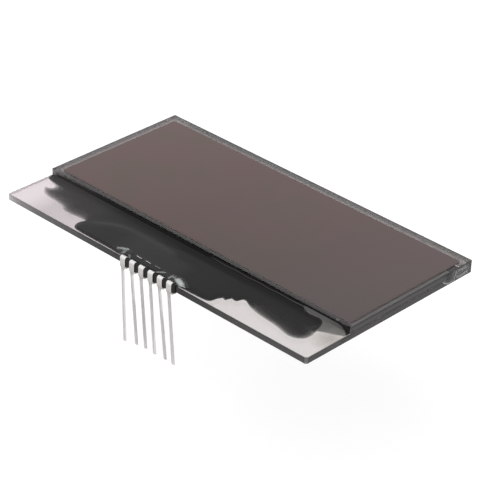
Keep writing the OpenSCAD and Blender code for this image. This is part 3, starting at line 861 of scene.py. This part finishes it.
def plug_piece(material):
    """Cured resin on the right glass edge, uneven, with a cloudy slanted seam."""
    low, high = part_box("fill_port_plug")
    steps, around = 160, 40
    middle_z = (low.z + high.z) / 2
    half = (high.z - low.z) / 2
    out = high.x - RIGHT
    rings, deep_painted_shade, cover = [], [], []
    for i in range(steps + 1):
        t = i / steps
        y = low.y + (high.y - low.y) * t
        end = min(1, math.sqrt(max(0.0, min(t, 1 - t) / 0.1)))
        lump = 0.72 + 0.2 * math.sin(t * 11) + 0.18 * noise.noise(Vector((t * 9, 4.4, 0)))
        fat = max(0.05, min(1, end * lump))
        tall = max(0.1, min(1, end * (0.9 + 0.2 * noise.noise(Vector((t * 7, 9.1, 0))))))
        ring, tone, solid = [], [], []
        for k in range(around + 1):
            a = math.pi * (k / around - 0.5)
            z = middle_z + half * tall * math.sin(a)
            ring.append((RIGHT - 0.00001 + out * fat * math.cos(a) ** 0.8, y, z))
            depth, density = plug_body((y - LEDGE_FRONT) / MM, (z - LEDGE_TOP) / MM)
            tone.append(depth)
            solid.append(density)
        rings.append(ring)
        deep_painted_shade.append(tone)
        cover.append(solid)
    mesh = closed_mesh("port_plug", rings, {"deep": deep_painted_shade, "cover": cover})
    return new_piece("port_plug", mesh, [material], "clear_resin", "fill_port_plug")


def lead_piece(node, material):
    """The lead's own stamped strip. Its wide faces stay flat and its bends are smooth."""
    bm = bmesh.new()
    bm.from_mesh(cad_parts[node].data)
    bmesh.ops.remove_doubles(bm, verts=bm.verts, dist=1e-7)
    for part in bm.faces:
        part.smooth = part.calc_area() < 0.3 * MM * MM
    mesh = bpy.data.meshes.new(node + "_strip")
    bm.to_mesh(mesh)
    bm.free()
    mesh.set_sharp_from_angle(angle=math.radians(40))
    return new_piece(node + "_strip", mesh, [material], "tinned_lead", node, smooth=False)


def dress_nodes():
    """Materials for the pieces that keep their CAD shape, sealed between or under others."""
    seal = seal_epoxy()
    fluid = grained("crystal_fluid", (0.03, 0.026, 0.024), (0.045, 0.04, 0.037), 0.3, 0.4)
    silver = grained("silver_epoxy", (0.35, 0.34, 0.32), (0.6, 0.58, 0.55), 0.45, 8.0, 0.5)
    die = grained("silicon_die", (0.09, 0.1, 0.12), (0.14, 0.15, 0.17), 0.15, 1.0, 0.6)
    film = grained("bonding_film", (0.3, 0.26, 0.17), (0.42, 0.37, 0.26), 0.5, 6.0)
    paste = grained("conductive_paste", (0.2, 0.2, 0.19), (0.42, 0.42, 0.4), 0.5, 8.0, 0.4)
    wearing = {
        "perimeter_seal": seal, "liquid_crystal": fluid, "crossover_dot_left": silver,
        "crossover_dot_right": silver, "driver_chip": die, "chip_bonding_film": film,
    }
    for n in range(1, 7):
        wearing[f"contact_paste_{n}"] = paste
    for node, material in wearing.items():
        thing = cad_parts[node]
        thing.data.materials.clear()
        thing.data.materials.append(material)


def build_camera():
    camera = bpy.data.objects.new("camera", bpy.data.cameras.new("camera"))
    bpy.context.scene.collection.objects.link(camera)
    azimuth = math.radians(CAMERA_AZIMUTH)
    elevation = math.radians(CAMERA_ELEVATION)
    back = Vector((math.sin(azimuth) * math.cos(elevation), -math.cos(azimuth) * math.cos(elevation),
                   math.sin(elevation)))
    right = Vector((0, 0, 1)).cross(back).normalized()
    up = back.cross(right)
    roll = math.radians(CAMERA_ROLL)
    side = right * math.cos(roll) + up * math.sin(roll)
    top = up * math.cos(roll) - right * math.sin(roll)
    turn = Matrix((side, top, back)).transposed().to_4x4()
    camera.matrix_world = Matrix.Translation(CAMERA_AT) @ turn
    camera.data.lens = CAMERA_LENS
    camera.data.sensor_width = 36
    camera.data.clip_start = 0.01
    bpy.context.scene.camera = camera


def build_world():
    """White studio air: full white to the camera, mirrors and glass, softer as light."""
    world = bpy.data.worlds.new("studio")
    bpy.context.scene.world = world
    world.use_nodes = True
    tree = world.node_tree
    tree.nodes.clear()
    output = tree.nodes.new("ShaderNodeOutputWorld")
    mix = tree.nodes.new("ShaderNodeMixShader")
    soft = tree.nodes.new("ShaderNodeBackground")
    seen = tree.nodes.new("ShaderNodeBackground")
    path = tree.nodes.new("ShaderNodeLightPath")
    either = tree.nodes.new("ShaderNodeMath")
    either.operation = "MAXIMUM"
    any_seen = tree.nodes.new("ShaderNodeMath")
    any_seen.operation = "MAXIMUM"
    soft.inputs["Color"].default_value = (1, 1, 1, 1)
    soft.inputs["Strength"].default_value = 0.75
    seen.inputs["Color"].default_value = (1, 1, 1, 1)
    seen.inputs["Strength"].default_value = 1.0
    tree.links.new(path.outputs["Is Camera Ray"], either.inputs[0])
    tree.links.new(path.outputs["Is Glossy Ray"], either.inputs[1])
    tree.links.new(either.outputs[0], any_seen.inputs[0])
    tree.links.new(path.outputs["Is Transmission Ray"], any_seen.inputs[1])
    tree.links.new(any_seen.outputs[0], mix.inputs[0])
    tree.links.new(soft.outputs[0], mix.inputs[1])
    tree.links.new(seen.outputs[0], mix.inputs[2])
    tree.links.new(mix.outputs[0], output.inputs["Surface"])


def softbox(name, place, target, size, power):
    lamp = bpy.data.lights.new(name, "AREA")
    lamp.shape = "SQUARE"
    lamp.size = size
    lamp.energy = power
    holder = bpy.data.objects.new(name, lamp)
    bpy.context.scene.collection.objects.link(holder)
    holder.location = place
    holder.visible_glossy = False
    holder.rotation_euler = (Vector(target) - Vector(place)).to_track_quat("-Z", "Y").to_euler()


def build_floor():
    mesh = bpy.data.meshes.new("floor")
    half = 1.5
    z = -FLOOR_DROP
    mesh.from_pydata([(-half, -half, z), (half, -half, z), (half, half, z), (-half, half, z)],
                     [], [(0, 1, 2, 3)])
    floor = bpy.data.objects.new("floor", mesh)
    bpy.context.scene.collection.objects.link(floor)
    n = Nodes("floor_paper")
    n.set(Roughness=0.9, Specular_IOR_Level=0.0)
    n.link(n.ramp(n.noise(0.02, 2.0), [(0.3, (0.965, 0.965, 0.965)), (0.7, (0.985, 0.985, 0.985))]),
           n.shader.inputs["Base Color"])
    n.set(Emission_Color=(1, 1, 1, 1), Emission_Strength=0.2)
    mesh.materials.append(n.material)


bpy.context.scene.view_settings.view_transform = "Standard"
build_camera()
build_world()
build_floor()
softbox("key", (0.25, -0.45, 0.55), (0, 0, 0), 0.35, 1.6)
softbox("fill", (-0.5, -0.2, 0.4), (0, 0, 0), 0.4, 0.6)

face = glass_face()
# Painted shade along each edge: pale at the bare left end, darkest along the coated stretch
low_edge = glass_edge("ledge_edge", [
    (0.056, 0.7), (0.085, 0.34), (0.16, 0.19), (0.234, 0.145), (0.295, 0.095), (0.37, 0.052), (0.66, 0.02), (0.785, 0.065),
    (0.908, 0.088), (1.0, 0.09),
], -1.4, 0.0, [(0.0, 0.36), (0.35, 0.3), (0.7, 0.36), (0.88, 0.1), (1.0, 0.0)])
high_edge = glass_edge("front_edge", [(0.04, 0.3), (0.12, 0.26), (0.25, 0.09), (0.9, 0.02), (1.0, 0.06)],
                       0.0, 1.4, [(0.0, 0.0), (0.12, 0.05), (0.35, 0.7), (0.6, 0.6), (0.8, 0.2), (1.0, 0.4)])
new_piece("rear_plate", glass_plate("rear_plate", "rear_glass", 11, (0.12 * MM, 0.45 * MM)),
          [face, low_edge, glass_arris("ledge_arris", 0.24, 0.3, 0.8)], "glass", "rear_glass")
new_piece("front_plate", glass_plate("front_plate", "front_glass", 12, (0.1 * MM, 0.1 * MM)),
          [face, high_edge, glass_arris("front_arris", 0.09, 0.08, 0.2)], "glass", "front_glass")
film, cut = polariser_film(), film_cut()
new_piece("front_film", film_sheet("front_film", "front_polariser"), [film, cut], "polariser",
          "front_polariser")
new_piece("rear_film", film_sheet("rear_film", "rear_polariser"), [film, cut], "polariser",
          "rear_polariser")
brushed_resin = black_resin("coating_resin", [
    (0.1, (0.052, 0.049, 0.05)), (0.35, (0.035, 0.034, 0.035)), (0.55, (0.0265, 0.0275, 0.027)),
    (0.85, (0.0255, 0.0245, 0.0245)),
], 0.035)
coating_piece(brushed_resin)
# Darker copy of the coating resin for the front plate's upright edge: painted shade
shaded_edge_resin = black_resin("shaded_edge_resin", [
    (0.1, (0.02, 0.018, 0.018)), (0.35, (0.01, 0.0095, 0.009)), (0.55, (0.005, 0.006, 0.005)),
    (0.85, (0.008, 0.006, 0.006)),
], 0.15)
edge_coat_piece(shaded_edge_resin)
skirt_piece(brushed_resin)
bead_piece(cured_resin("bead_resin", 0.3))
plug_piece(cured_resin("plug_resin", 0.5))
tin = tinned_strip()
for pin_node in PINS:
    lead_piece(pin_node, tin)
dress_nodes()
